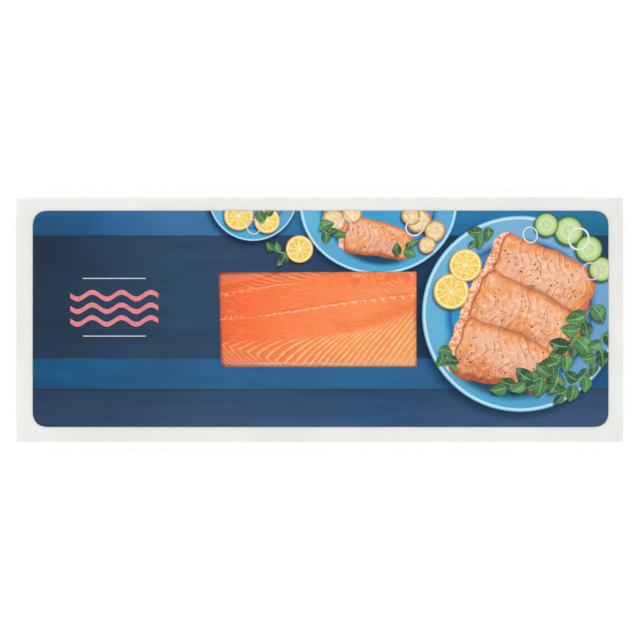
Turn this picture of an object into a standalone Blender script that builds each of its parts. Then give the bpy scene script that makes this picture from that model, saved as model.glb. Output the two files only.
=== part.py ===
"""A sealed pack that holds one raw salmon side.

A shallow thermoformed tray with a flat flange stands on its base. A clear lidding film is sealed
to the flange, a printed panel with a clear window lies on the film, and the salmon side lies flesh
side up in the tray, close under the window. Tail at -X, head end at +X, back towards +Y.
"""

import math

import bmesh
import bpy
from mathutils import Vector

# Driving sizes, in metres.
PACK_LENGTH = 0.600
PACK_WIDTH = 0.242
TRAY_HEIGHT = 0.034
WALL = 0.0009
CLEARANCE = 0.0003

# Tray: the flange runs round a cavity with rounded corners and sloping, fluted walls.
FLANGE_CORNER = 0.0015
CAVITY_LENGTH = 0.567
CAVITY_WIDTH = 0.2105
CAVITY_CORNER = 0.0140
DRAFT = math.tan(math.radians(8))
RIM_ROUND = 0.0015
FOOT_ROUND = 0.0060
FOOT_ROUND_STEPS = 3
FOOT_RING = 0.0100
BASE_LIFT = 0.0015
CORNER_STEPS = 6

# Flutes pressed into the walls: centres along a side, and the half widths of floor and mouth.
LONG_FLUTES = [0.060 * n for n in range(-4, 5)]
SHORT_FLUTES = [0.052 * n for n in range(-1, 2)]
FLUTE_FLOOR = 0.0065
FLUTE_MOUTH = 0.0105
FLUTE_DEPTH = 0.0022
FLUTE_RUN_IN = 0.0040

# Drain ribs pressed up across the raised base.
BASE_RIBS = [0.054 * n for n in range(-4, 5)]
RIB_HALF_LENGTH = 0.066
RIB_RADIUS = 0.0065
RIB_HEIGHT = 0.0012
RIB_TOP_RADIUS = 0.0050
RIB_END_STEPS = 5

# Lid: the film covers the flange, the print stops short of the edge and leaves the window clear.
FILM_THICKNESS = 0.0004
PRINT_THICKNESS = 0.0003
PRINT_LENGTH = 0.5699
PRINT_WIDTH = 0.2143
PRINT_CORNER = 0.0134
PRINT_CENTRE = (0.0008, 0.0012)
WINDOW_RIGHT = 0.0956
WINDOW_LEFT_TOP = -0.0994
WINDOW_LEFT_BOTTOM = -0.0970
WINDOW_TOP_LEFT = 0.0466
WINDOW_TOP_RIGHT = 0.0476
WINDOW_BOTTOM = -0.0468
WINDOW_CORNERS = (0.0050, 0.0008, 0.0008, 0.0008)
WINDOW_CORNER_STEPS = 5

# Salmon side: stations from the tail cut to the head cut. Each gives the place along the pack, the
# belly edge, the mid-line of the muscle, the back edge and the full thickness there.
SALMON_STATIONS = [
    (-0.262, -0.026, -0.004, 0.024, 0.0100),
    (-0.256, -0.031, -0.004, 0.029, 0.0125),
    (-0.205, -0.042, -0.004, 0.039, 0.0200),
    (-0.140, -0.057, -0.002, 0.052, 0.0262),
    (-0.060, -0.070, 0.004, 0.066, 0.0290),
    (0.030, -0.080, 0.017, 0.081, 0.0297),
    (0.115, -0.086, 0.027, 0.092, 0.0298),
    (0.190, -0.084, 0.033, 0.097, 0.0294),
    (0.236, -0.071, 0.036, 0.095, 0.0275),
    (0.258, -0.051, 0.038, 0.089, 0.0250),
]
# Section of the side, in two stretches that meet at the mid-line: how far along the stretch a point
# lies, and how much of the full thickness the cut face and the skin have there. The face is pressed
# almost flat under the film, the belly flap is a little thinner, and its edge is rounded.
BELLY_SECTION = [
    (0.00, 0.44, 0.14),
    (0.09, 0.72, 0.00),
    (0.32, 0.96, 0.00),
    (0.84, 0.99, 0.00),
]
LOIN_SECTION = [
    (0.00, 0.98, 0.00),
    (0.20, 1.00, 0.00),
    (0.60, 1.00, 0.00),
    (0.90, 0.88, 0.05),
    (1.00, 0.62, 0.24),
]
SALMON_SMOOTHING = 2

FLANGE_UNDERSIDE = TRAY_HEIGHT - WALL
BASE_RIB_TOP = BASE_LIFT + RIB_HEIGHT + WALL
SALMON_BOTTOM = BASE_RIB_TOP + CLEARANCE
FILM_BOTTOM = TRAY_HEIGHT + CLEARANCE
PRINT_BOTTOM = FILM_BOTTOM + FILM_THICKNESS + CLEARANCE


def clear_scene():
    for old in list(bpy.data.objects):
        bpy.data.objects.remove(old)


def new_collection(name):
    collection = bpy.data.collections.new(name)
    bpy.context.scene.collection.children.link(collection)
    return collection


def new_material(name, colour, roughness, alpha=1.0):
    material = bpy.data.materials.new(name)
    material.use_nodes = True
    shader = material.node_tree.nodes["Principled BSDF"]
    shader.inputs["Base Color"].default_value = (*colour, 1.0)
    shader.inputs["Roughness"].default_value = roughness
    shader.inputs["Metallic"].default_value = 0.0
    shader.inputs["Alpha"].default_value = alpha
    return material


def place(name, data, material, collection):
    obj = bpy.data.objects.new(name, data)
    obj.data.materials.append(material)
    collection.objects.link(obj)
    return obj


def arc(centre, radius, start, end, steps):
    """Points of an arc, both ends included, anticlockwise from start to end in degrees."""
    angles = [math.radians(start + (end - start) * n / steps) for n in range(steps + 1)]
    return [Vector((centre[0] + radius * math.cos(a), centre[1] + radius * math.sin(a))) for a in angles]


def rounded_rectangle(length, width, radius, steps, centre=(0.0, 0.0)):
    x, y = length / 2 - radius, width / 2 - radius
    corners = [(x, y, 0), (-x, y, 90), (-x, -y, 180), (x, -y, 270)]
    points = []
    for corner_x, corner_y, start in corners:
        middle = (centre[0] + corner_x, centre[1] + corner_y)
        points += arc(middle, radius, start, start + 90, steps)
    return points


# The tray.


def side_profile(flutes, depth):
    """(place along the side, set-in) for the corners of each flute on one side of the tray."""
    profile = []
    for centre in flutes:
        profile += [(centre - FLUTE_MOUTH, 0.0), (centre - FLUTE_FLOOR, depth)]
        profile += [(centre + FLUTE_FLOOR, depth), (centre + FLUTE_MOUTH, 0.0)]
    return profile


def tray_outline(inset, radius, depth, from_flange=False):
    """One level of the tray seen from above: a rounded rectangle, set in from the cavity's mouth or
    from the flange's edge, with the flutes as deep as asked."""
    length = PACK_LENGTH if from_flange else CAVITY_LENGTH + 2 * WALL
    width = PACK_WIDTH if from_flange else CAVITY_WIDTH + 2 * WALL
    half_length, half_width = length / 2 - inset, width / 2 - inset
    x, y = half_length - radius, half_width - radius
    points = [Vector((half_length - d, s)) for s, d in side_profile(SHORT_FLUTES, depth)]
    points += arc((x, y), radius, 0, 90, CORNER_STEPS)
    points += [Vector((-s, half_width - d)) for s, d in side_profile(LONG_FLUTES, depth)]
    points += arc((-x, y), radius, 90, 180, CORNER_STEPS)
    points += [Vector((-half_length + d, -s)) for s, d in side_profile(SHORT_FLUTES, depth)]
    points += arc((-x, -y), radius, 180, 270, CORNER_STEPS)
    points += [Vector((s, -half_width + d)) for s, d in side_profile(LONG_FLUTES, depth)]
    points += arc((x, -y), radius, 270, 360, CORNER_STEPS)
    return points


def tray_levels():
    """(outline, height) from the flange's edge down the wall, round the foot and in to the base."""
    wall_top = FLANGE_UNDERSIDE - RIM_ROUND
    flute_top = wall_top - FLUTE_RUN_IN
    wall_foot = FOOT_ROUND
    flute_inset = RIM_ROUND + FLUTE_RUN_IN * DRAFT
    foot_inset = RIM_ROUND + (wall_top - wall_foot) * DRAFT
    wall_corner = CAVITY_CORNER - RIM_ROUND
    levels = [
        (tray_outline(0.0, FLANGE_CORNER, 0.0, from_flange=True), FLANGE_UNDERSIDE),
        (tray_outline(0.0, CAVITY_CORNER, 0.0), FLANGE_UNDERSIDE),
        (tray_outline(RIM_ROUND, wall_corner, 0.0), wall_top),
        (tray_outline(flute_inset, wall_corner, FLUTE_DEPTH), flute_top),
        (tray_outline(foot_inset, wall_corner, FLUTE_DEPTH), wall_foot),
    ]
    for n in range(1, FOOT_ROUND_STEPS + 1):
        turn = math.radians(90 * n / FOOT_ROUND_STEPS)
        inset = foot_inset + FOOT_ROUND * (1 - math.cos(turn))
        depth = FLUTE_DEPTH * (1 - n / FOOT_ROUND_STEPS)
        height = FOOT_ROUND * (1 - math.sin(turn))
        radius = wall_corner - (inset - foot_inset) / 2
        levels.append((tray_outline(inset, radius, depth), height))
    ring = foot_inset + FOOT_ROUND + FOOT_RING
    corner = wall_corner - FOOT_ROUND / 2
    levels.append((tray_outline(ring, corner, 0.0), 0.0))
    levels.append((tray_outline(ring + BASE_LIFT, corner, 0.0), BASE_LIFT))
    return levels


def rib_outline(centre_x, radius):
    """A long bar with round ends that runs across the base."""
    top = arc((centre_x, RIB_HALF_LENGTH), radius, 0, 180, RIB_END_STEPS)
    return top + arc((centre_x, -RIB_HALF_LENGTH), radius, 180, 360, RIB_END_STEPS)


def loop_of(mesh, outline, height):
    """A closed ring of edges. Returns its vertices and its edges."""
    ring = [mesh.verts.new((p.x, p.y, height)) for p in outline]
    edges = [mesh.edges.new((a, b)) for a, b in zip(ring, ring[1:] + ring[:1])]
    return ring, edges


def band_between(mesh, outer, inner):
    for n, vertex in enumerate(outer):
        after = (n + 1) % len(outer)
        mesh.faces.new((vertex, inner[n], inner[after], outer[after]))


def build_tray(collection):
    """The tray's outer skin as a loft of its levels, thickened inwards by a Solidify modifier."""
    mesh = bmesh.new()
    rings = [loop_of(mesh, outline, height) for outline, height in tray_levels()]
    for (outer, _), (inner, _) in zip(rings, rings[1:]):
        band_between(mesh, outer, inner)
    base_edges = list(rings[-1][1])
    for centre_x in BASE_RIBS:
        foot, foot_edges = loop_of(mesh, rib_outline(centre_x, RIB_RADIUS), BASE_LIFT)
        top, _ = loop_of(mesh, rib_outline(centre_x, RIB_TOP_RADIUS), BASE_LIFT + RIB_HEIGHT)
        band_between(mesh, foot, top)
        mesh.faces.new(top)
        base_edges += foot_edges
    bmesh.ops.triangle_fill(mesh, use_beauty=True, use_dissolve=False, edges=base_edges, normal=(0, 0, 1))
    bmesh.ops.recalc_face_normals(mesh, faces=mesh.faces)
    lowest = min(mesh.faces, key=lambda face: face.calc_center_median().z)
    if lowest.normal.z > 0:
        bmesh.ops.reverse_faces(mesh, faces=mesh.faces)
    data = bpy.data.meshes.new("tray")
    mesh.to_mesh(data)
    mesh.free()
    tray = place("tray", data, new_material("tray_plastic", (0.80, 0.81, 0.79), 0.35), collection)
    thicken = tray.modifiers.new("wall", "SOLIDIFY")
    thicken.thickness = WALL
    thicken.offset = -1.0
    thicken.use_even_offset = True
    return tray


# The lid.


def flat_piece(name, outlines, thickness, bottom, material, collection):
    """A flat sheet cut to its first outline, with the other outlines left open."""
    curve = bpy.data.curves.new(name, "CURVE")
    curve.dimensions = "2D"
    curve.fill_mode = "BOTH"
    curve.extrude = thickness / 2
    for outline in outlines:
        spline = curve.splines.new("POLY")
        spline.points.add(len(outline) - 1)
        for point, target in zip(spline.points, outline):
            point.co = (target.x, target.y, 0.0, 1.0)
        spline.use_cyclic_u = True
    sheet = place(name, curve, material, collection)
    sheet.location.z = bottom + thickness / 2
    return sheet


def window_outline():
    """The clear window: its left edge leans, and its lower left corner is the roundest."""
    corners = [
        Vector((WINDOW_LEFT_BOTTOM, WINDOW_BOTTOM)),
        Vector((WINDOW_RIGHT, WINDOW_BOTTOM)),
        Vector((WINDOW_RIGHT, WINDOW_TOP_RIGHT)),
        Vector((WINDOW_LEFT_TOP, WINDOW_TOP_LEFT)),
    ]
    points = []
    for n, corner in enumerate(corners):
        before = (corners[n - 1] - corner).normalized()
        after = (corners[(n + 1) % len(corners)] - corner).normalized()
        start, end = corner + before * WINDOW_CORNERS[n], corner + after * WINDOW_CORNERS[n]
        for step in range(WINDOW_CORNER_STEPS + 1):
            t = step / WINDOW_CORNER_STEPS
            points.append((1 - t) ** 2 * start + 2 * t * (1 - t) * corner + t**2 * end)
    return points


def build_lid(collection):
    film = new_material("clear_film", (0.93, 0.94, 0.94), 0.10, alpha=0.20)
    edge = rounded_rectangle(PACK_LENGTH, PACK_WIDTH, FLANGE_CORNER, CORNER_STEPS)
    flat_piece("lid_film", [edge], FILM_THICKNESS, FILM_BOTTOM, film, collection)
    ink = new_material("printed_ink", (0.028, 0.070, 0.130), 0.30)
    panel = rounded_rectangle(PRINT_LENGTH, PRINT_WIDTH, PRINT_CORNER, CORNER_STEPS, PRINT_CENTRE)
    outlines = [panel, window_outline()]
    flat_piece("printed_panel", outlines, PRINT_THICKNESS, PRINT_BOTTOM, ink, collection)


# The salmon side.


def section_points(x, belly_y, middle_y, back_y, thickness):
    """One ring of the cage: along the cut face from belly to back, then back along the skin."""
    belly = [(belly_y + (middle_y - belly_y) * along, *shares) for along, *shares in BELLY_SECTION]
    loin = [(middle_y + (back_y - middle_y) * along, *shares) for along, *shares in LOIN_SECTION]
    face, skin = [], []
    for y, face_share, skin_share in belly + loin:
        face.append((x, y, SALMON_BOTTOM + thickness * face_share))
        skin.append((x, y, SALMON_BOTTOM + thickness * skin_share))
    return face + skin[::-1]


def build_salmon(collection):
    """A coarse cage through the stations, smoothed by a Subdivision Surface modifier."""
    mesh = bmesh.new()
    rings = []
    for station in SALMON_STATIONS:
        rings.append([mesh.verts.new(point) for point in section_points(*station)])
    for ring, following in zip(rings, rings[1:]):
        band_between(mesh, ring, following)
    half = len(BELLY_SECTION) + len(LOIN_SECTION)
    for ring in (rings[0], rings[-1]):
        for n in range(half - 1):
            mesh.faces.new((ring[n], ring[n + 1], ring[-n - 2], ring[-n - 1]))
    bmesh.ops.recalc_face_normals(mesh, faces=mesh.faces)
    data = bpy.data.meshes.new("salmon_side")
    mesh.to_mesh(data)
    mesh.free()
    flesh = new_material("salmon_flesh", (0.80, 0.19, 0.055), 0.35)
    salmon = place("salmon_side", data, flesh, collection)
    smooth = salmon.modifiers.new("smooth", "SUBSURF")
    smooth.levels = SALMON_SMOOTHING
    smooth.render_levels = SALMON_SMOOTHING
    data.shade_smooth()
    return salmon


def main():
    clear_scene()
    collection = new_collection("salmon_pack")
    build_tray(collection)
    build_lid(collection)
    build_salmon(collection)


main()
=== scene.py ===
import math

import bpy
import numpy as np
from mathutils import Matrix


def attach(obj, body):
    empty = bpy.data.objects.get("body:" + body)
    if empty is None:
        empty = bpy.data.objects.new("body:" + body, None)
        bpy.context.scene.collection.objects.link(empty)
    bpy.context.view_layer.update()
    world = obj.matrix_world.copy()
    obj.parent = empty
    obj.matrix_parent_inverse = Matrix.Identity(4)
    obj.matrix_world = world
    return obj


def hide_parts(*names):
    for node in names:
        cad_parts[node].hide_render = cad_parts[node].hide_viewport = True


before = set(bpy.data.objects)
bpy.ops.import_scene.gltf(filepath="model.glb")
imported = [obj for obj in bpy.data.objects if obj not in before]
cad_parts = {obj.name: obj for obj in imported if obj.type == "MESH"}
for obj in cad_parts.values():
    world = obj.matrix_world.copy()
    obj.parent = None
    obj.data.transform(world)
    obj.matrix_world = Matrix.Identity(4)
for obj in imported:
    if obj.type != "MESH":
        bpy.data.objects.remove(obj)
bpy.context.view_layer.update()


# Tray
# One shallow tray of light warm-grey plastic sheet, thermoformed: a flat flange all round, fluted
# walls and drain ribs in its base. The sheet's folds are soft and its punched edge is thin.
TRAY_EDGE = 0.00022


def only(piece):
    """The piece alone is selected and active."""
    bpy.ops.object.select_all(action="DESELECT")
    piece.select_set(True)
    bpy.context.view_layer.objects.active = piece


def edit(piece, step, **settings):
    """One step on the whole of a piece, in edit mode."""
    only(piece)
    bpy.ops.object.mode_set(mode="EDIT")
    bpy.ops.mesh.select_all(action="SELECT")
    step(**settings)
    bpy.ops.object.mode_set(mode="OBJECT")


def srgb(red, green, blue):
    """A colour given as 0 to 255 on screen, as the linear colour that a shader takes."""
    parts = [c / 255 for c in (red, green, blue)]
    return tuple(c / 12.92 if c <= 0.04045 else ((c + 0.055) / 1.055) ** 2.4 for c in parts) + (1.0,)


def new_material(name):
    material = bpy.data.materials.new(name)
    material.use_nodes = True
    return material, material.node_tree, material.node_tree.nodes["Principled BSDF"]


def fill(node, inputs):
    """Sets a node's inputs to plain values, or links the sockets of other nodes to them."""
    for key, value in inputs.items():
        if isinstance(value, bpy.types.NodeSocket):
            tree.links.new(value, node.inputs[key])
        else:
            node.inputs[key].default_value = value


def add_node(kind, inputs=(), **settings):
    """A shader node in the tree in hand, the one that the name tree stands for."""
    node = tree.nodes.new("ShaderNode" + kind)
    for setting, value in settings.items():
        setattr(node, setting, value)
    fill(node, dict(inputs))
    return node


def calc(operation, first, second=0.0, clamp=False):
    settings = {"operation": operation, "use_clamp": clamp}
    return add_node("Math", {0: first, 1: second}, **settings).outputs[0]


def fade(value, start, end, low=0.0, high=1.0):
    """Smooth step: low where the value is at start, high where it is at end."""
    inputs = {0: value, 1: start, 2: end, 3: low, 4: high}
    return add_node("MapRange", inputs, interpolation_type="SMOOTHSTEP").outputs[0]


def blend_colour(share, first, second, how="MIX"):
    inputs = {0: share, 6: first, 7: second}
    return add_node("Mix", inputs, data_type="RGBA", blend_type=how).outputs[2]


def object_place(scale=(1.0, 1.0, 1.0), centre=(0.0, 0.0, 0.0), turn=0.0):
    """Object coordinates, moved, turned about Z and scaled for a pattern."""
    where = add_node("TexCoord").outputs["Object"]
    moved = add_node("VectorMath", {0: where, 1: centre}, operation="SUBTRACT").outputs[0]
    inputs = {"Vector": moved, "Rotation": (0.0, 0.0, turn), "Scale": scale}
    return add_node("Mapping", inputs).outputs[0]


def noise(where, scale, detail=3.0, roughness=0.5):
    inputs = {"Vector": where, "Scale": scale, "Detail": detail, "Roughness": roughness}
    return add_node("TexNoise", inputs).outputs[0]


def bump(height, distance, strength=1.0):
    inputs = {"Height": height, "Distance": distance, "Strength": strength}
    return add_node("Bump", inputs).outputs[0]


def set_up(piece, slot, *nodes):
    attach(piece, "root")
    if nodes:
        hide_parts(*nodes)


tray = bpy.data.objects.new("tray_body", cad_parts["tray"].data.copy())
bpy.context.scene.collection.objects.link(tray)
edit(tray, bpy.ops.mesh.remove_doubles, threshold=0.00001)
edit(tray, bpy.ops.mesh.dissolve_limited, angle_limit=math.radians(0.5))
soft_folds = tray.modifiers.new("soft_folds", "BEVEL")
soft_folds.width = TRAY_EDGE
soft_folds.segments = 2
soft_folds.limit_method = "ANGLE"
soft_folds.angle_limit = math.radians(24)
bpy.ops.object.modifier_apply(modifier="soft_folds")
bpy.ops.object.shade_smooth_by_angle(angle=math.radians(40))

tray_sheet, tree, shader = new_material("tray_sheet")
cloud = noise(object_place(), 14.0, 4.0)
grain = noise(object_place(), 900.0, 2.0)
colour = blend_colour(fade(cloud, 0.3, 0.7), srgb(235, 236, 232), srgb(240, 241, 237))
fill(shader, {"Base Color": colour, "Roughness": fade(cloud, 0.35, 0.7, 0.34, 0.46),
              "Normal": bump(grain, 0.00002)})
tray.data.materials.clear()
tray.data.materials.append(tray_sheet)
set_up(tray, "tray_plastic", "tray")


# Salmon side
# One raw salmon side, trimmed of its bones: moist orange flesh up, silver skin down, tail to -X. Thin
# pale sheets of fat part its blocks of muscle and show as lines, bright along the middle of the side
# and in the belly. The film presses it almost flat.
SALMON_BOTTOM = 0.0039
SALMON_STATIONS = [  # place along the pack, belly edge, mid-line, back edge, thickness
    (-0.262, -0.026, -0.004, 0.024, 0.0100),
    (-0.256, -0.031, -0.004, 0.029, 0.0125),
    (-0.205, -0.042, -0.004, 0.039, 0.0200),
    (-0.140, -0.057, -0.002, 0.052, 0.0267),
    (-0.060, -0.070, 0.004, 0.066, 0.0295),
    (0.030, -0.080, 0.017, 0.081, 0.0302),
    (0.115, -0.086, 0.027, 0.092, 0.0303),
    (0.190, -0.084, 0.033, 0.097, 0.0299),
    (0.236, -0.071, 0.036, 0.095, 0.0275),
    (0.258, -0.051, 0.038, 0.089, 0.0250),
]
BELLY_SECTION = [(0.00, 0.44, 0.14), (0.09, 0.72, 0.00), (0.32, 0.96, 0.00), (0.84, 0.99, 0.00)]
LOIN_SECTION = [(0.00, 0.98, 0.00), (0.20, 1.00, 0.00), (0.60, 1.00, 0.00), (0.90, 0.88, 0.05),
                (1.00, 0.62, 0.24)]
FACE_STEPS = 140
SKIN_STEPS = 26
RING_POINTS = 1200
PATH_POINTS = 3000
CLOSE_COLUMNS_FROM, CLOSE_COLUMNS_TO = -0.120, 0.115  # the stretch that the window shows
CLOSE_COLUMNS, END_COLUMNS = 214, 40
GROOVE_DEPTH = 0.00022
GROOVE_WIDTH = 0.0014
TAIL_LINES = 38  # belly lines behind the window's edge
HEAD_END = 250.0
WIDE_SPACING, CLOSE_SPACING = 10.6, 5.4  # of the belly's pale lines, at the tail side and the head side


def spline_share(t):
    """Weights of the four control points of a smooth curve, t of the way between the middle two."""
    return np.array([(1 - t) ** 3, 3 * t**3 - 6 * t**2 + 4, -3 * t**3 + 3 * t**2 + 3 * t + 1, t**3]) / 6


def section_ring(belly, middle, back, thickness):
    """Control points (y, z) round the side at one station: over the flesh, then back along the skin."""
    flesh, skin = [], []
    stretches = [(belly, middle, BELLY_SECTION), (middle, back, LOIN_SECTION)]
    for start, end, rows in stretches:
        for along, face_share, skin_share in rows:
            y = start + (end - start) * along
            flesh.append((y, SALMON_BOTTOM + thickness * face_share))
            skin.append((y, SALMON_BOTTOM + thickness * skin_share))
    return flesh + skin[::-1]


def ring_at(share_along):
    """The section's closed ring of control points, at a place counted in stations."""
    n = min(int(share_along), len(SALMON_STATIONS) - 2)
    return np.tensordot(spline_share(share_along - n), station_rings[n:n + 4], 1)


def walk(points, steps):
    """Points spaced evenly along a path."""
    lengths = np.concatenate([[0], np.cumsum(np.hypot(*np.diff(points, axis=0).T))])
    marks = np.linspace(0, lengths[-1], steps + 1)
    return np.stack([np.interp(marks, lengths, points[:, k]) for k in (0, 1)], axis=1)


def mid_line(x):
    """The line of fat between loin and belly, in millimetres."""
    return 12.4 + 17.0 * np.tanh(x / 105.0)


def upper_line(x):
    return mid_line(x) + 30.2 + 0.06 * x


def line_spacing(x):
    """The distance to the belly's next pale line, in millimetres."""
    return CLOSE_SPACING + (WIDE_SPACING - CLOSE_SPACING) * 0.5 * (1 - math.tanh((x + 36.0) / 18.0))


def belly_top(x):
    """Where the strong pale lines of the belly end, below the mid-line, in millimetres."""
    along = np.maximum((x + 96.6) / 192.0, 0.0)
    head_rise = 6.5 * np.clip((x - 60.0) / 35.0, 0.0, 1.0) ** 1.5
    return np.minimum(-21.3 + 31.7 * along**2.75 + head_rise, mid_line(x) - 6.5)


inner = np.array([section_ring(*station[1:]) for station in SALMON_STATIONS])
station_rings = np.concatenate([[2 * inner[0] - inner[1]], inner, [2 * inner[-1] - inner[-2]]])
station_x = np.array([station[0] for station in SALMON_STATIONS])
station_x = np.concatenate([[2 * station_x[0] - station_x[1]], station_x,
                            [2 * station_x[-1] - station_x[-2]]])
fine_share = np.linspace(0, len(SALMON_STATIONS) - 1, PATH_POINTS)
fine_n = np.minimum(fine_share.astype(int), len(SALMON_STATIONS) - 2)
fine_x = sum(spline_share(fine_share - fine_n)[k] * station_x[fine_n + k] for k in range(4))
columns = np.concatenate([
    np.linspace(fine_x[0], CLOSE_COLUMNS_FROM, END_COLUMNS)[:-1],
    np.linspace(CLOSE_COLUMNS_FROM, CLOSE_COLUMNS_TO, CLOSE_COLUMNS)[:-1],
    np.linspace(CLOSE_COLUMNS_TO, fine_x[-1], END_COLUMNS),
])
form = np.zeros((len(columns), FACE_STEPS + SKIN_STEPS + 1, 3))
for n, x in enumerate(columns):
    ring = ring_at(np.interp(x, fine_x, fine_share))
    count = len(ring)
    turns = np.linspace(0, count, RING_POINTS + 1)[:-1]
    base = turns.astype(int)
    weights = spline_share(turns - base)
    loop = sum(weights[k][:, None] * ring[(base + k - 1) % count] for k in range(4))
    loop = np.roll(loop, -int(np.argmin(loop[:, 0])), axis=0)
    far = int(np.argmax(loop[:, 0]))
    face = walk(loop[:far + 1], FACE_STEPS)
    skin = walk(np.concatenate([loop[far:], loop[:1]]), SKIN_STEPS)
    off = (face[:, 0] - mid_line(x * 1000) / 1000) / GROOVE_WIDTH
    face[:, 1] -= GROOVE_DEPTH * np.exp(-off**2)
    form[n, :, 0] = x
    form[n, :, 1:] = np.concatenate([face, skin[1:]])

bpy.ops.object.select_all(action="DESELECT")
bpy.ops.mesh.primitive_grid_add(x_subdivisions=len(columns) - 1, y_subdivisions=FACE_STEPS + SKIN_STEPS)
salmon = bpy.context.object
salmon.name = "salmon_flesh_side"
salmon.data.vertices.foreach_set("co", form.transpose(1, 0, 2).ravel())
bpy.ops.object.mode_set(mode="EDIT")
bpy.ops.mesh.select_all(action="SELECT")
bpy.ops.mesh.remove_doubles(threshold=0.000001)
bpy.ops.mesh.select_all(action="DESELECT")
bpy.ops.mesh.select_non_manifold()
bpy.ops.mesh.fill_holes(sides=0)
bpy.ops.mesh.select_all(action="SELECT")
bpy.ops.mesh.normals_make_consistent(inside=False)
bpy.ops.object.mode_set(mode="OBJECT")
bpy.ops.object.shade_smooth_by_angle(angle=math.radians(50))


def keep_values(piece, name, values):
    """A value at each vertex, for the piece's material."""
    layer = piece.data.attributes.new(name, "FLOAT", "POINT")
    layer.data.foreach_set("value", np.ascontiguousarray(values, dtype=np.float32))


def vertex_places(piece):
    places = np.zeros(len(piece.data.vertices) * 3, np.float32)
    piece.data.vertices.foreach_get("co", places)
    return places.reshape(-1, 3)


places = vertex_places(salmon)
x, y = places[:, 0] * 1000, places[:, 1] * 1000
depth_in_belly = belly_top(x) - y
fold_line = -24.3 - 0.31 * (x + 96.6)
above_fold = y - fold_line
lean = np.where(above_fold > 0, 0.6 * above_fold, -2.44 * above_fold)
hook = np.interp(x, [-20, 95], [16.0, 6.0]) * np.exp(-np.maximum(depth_in_belly, -4.0) / 8.0)
line_place = x - lean - hook
line_marks = [-107.6 - TAIL_LINES * WIDE_SPACING]
while line_marks[-1] < HEAD_END:
    line_marks.append(line_marks[-1] + line_spacing(line_marks[-1]))
keep_values(salmon, "belly_lines", np.interp(line_place, line_marks, np.arange(len(line_marks))))
keep_values(salmon, "belly_depth", depth_in_belly)
keep_values(salmon, "above_fold", above_fold)
keep_values(salmon, "from_mid_line", y - mid_line(x))
keep_values(salmon, "from_upper_line", y - upper_line(x))
above_belly = np.maximum(-depth_in_belly, 0.0)
above_upper = np.maximum(y - upper_line(x) + 2.5 * np.clip((x + 50.0) / 30.0, 0.0, 1.0), 0.0)
keep_values(salmon, "upper_strokes",
            (x + 2.2 * above_upper + 10.0 * (1 - np.exp(-above_upper / 2.2))) / 9.5)
keep_values(salmon, "middle_lines",
            (x - 0.84 * above_belly - 13.0 * (1 - np.exp(-above_belly / 5.0))) / 4.6)
keep_values(salmon, "loin_lines", (x + 1.1 * (y - mid_line(x))) / 5.6)
normals = np.zeros(len(salmon.data.vertices) * 3, np.float32)
salmon.data.vertices.foreach_get("normal", normals)
keep_values(salmon, "skin_side", np.clip(-normals.reshape(-1, 3)[:, 2] * 4, 0, 1))


def plus(first, second, clamp=False):
    return calc("ADD", first, second, clamp)


def less(first, second):
    return calc("SUBTRACT", first, second)


def over(first, second):
    return calc("DIVIDE", first, second)


def times(*parts):
    product = parts[0]
    for part in parts[1:]:
        product = calc("MULTIPLY", product, part)
    return product


def painted(under, share, *colour):
    """A colour, 0 to 255 in each part, laid over another where the share is above 0."""
    return blend_colour(share, under, srgb(*colour))


def stored(name):
    return add_node("Attribute", attribute_name=name).outputs["Fac"]


def stripe(value, width):
    """Lines at the whole numbers of a value: 1 on a line, 0 away from it. Width is a half width."""
    within = calc("FRACT", plus(value, 0.5))
    away = calc("ABSOLUTE", less(within, 0.5))
    if isinstance(width, float):
        return fade(away, width * 1.15, width * 0.2)
    return fade(over(away, width), 1.15, 0.2)


def ridge(value, centre, half_width):
    """A soft line where a value is near a centre."""
    away = calc("ABSOLUTE", less(value, centre))
    return fade(away, half_width, half_width * 0.15)


def ramp_along(value, stops, colour_of=srgb):
    """A colour that changes softly with a value. Stops are (value, colour), in order."""
    low, high = stops[0][0], stops[-1][0]
    share = add_node("MapRange", {0: value, 1: low, 2: high}).outputs[0]
    ramp = add_node("ValToRGB", {0: share})
    ends = ramp.color_ramp.elements[0], ramp.color_ramp.elements[1]
    for stop, (place, colour) in zip(ends, (stops[0], stops[-1])):
        stop.color = colour_of(*colour)
    for place, colour in stops[1:-1]:
        stop = ramp.color_ramp.elements.new((place - low) / (high - low))
        stop.color = colour_of(*colour)
    return ramp.outputs[0]


flesh, tree, shader = new_material("raw_salmon_flesh")
here = object_place()
split = add_node("SeparateXYZ", {0: here})
along_x = split.outputs[0]
large = noise(here, 28.0, 3.0)
soft_noise = noise(object_place((1.0, 2.0, 1.0)), 34.0, 2.0)
middle_noise = noise(object_place((1.0, 1.6, 1.0)), 95.0, 2.0)
along_noise = noise(object_place((1.0, 0.0, 1.0)), 240.0, 2.0)
fibre = noise(object_place((0.3, 1.5, 1.0)), 520.0, 4.0, 0.65)
depth = stored("belly_depth")
mid_gap = stored("from_mid_line")
upper_gap = stored("from_upper_line")
count = stored("belly_lines")

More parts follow.
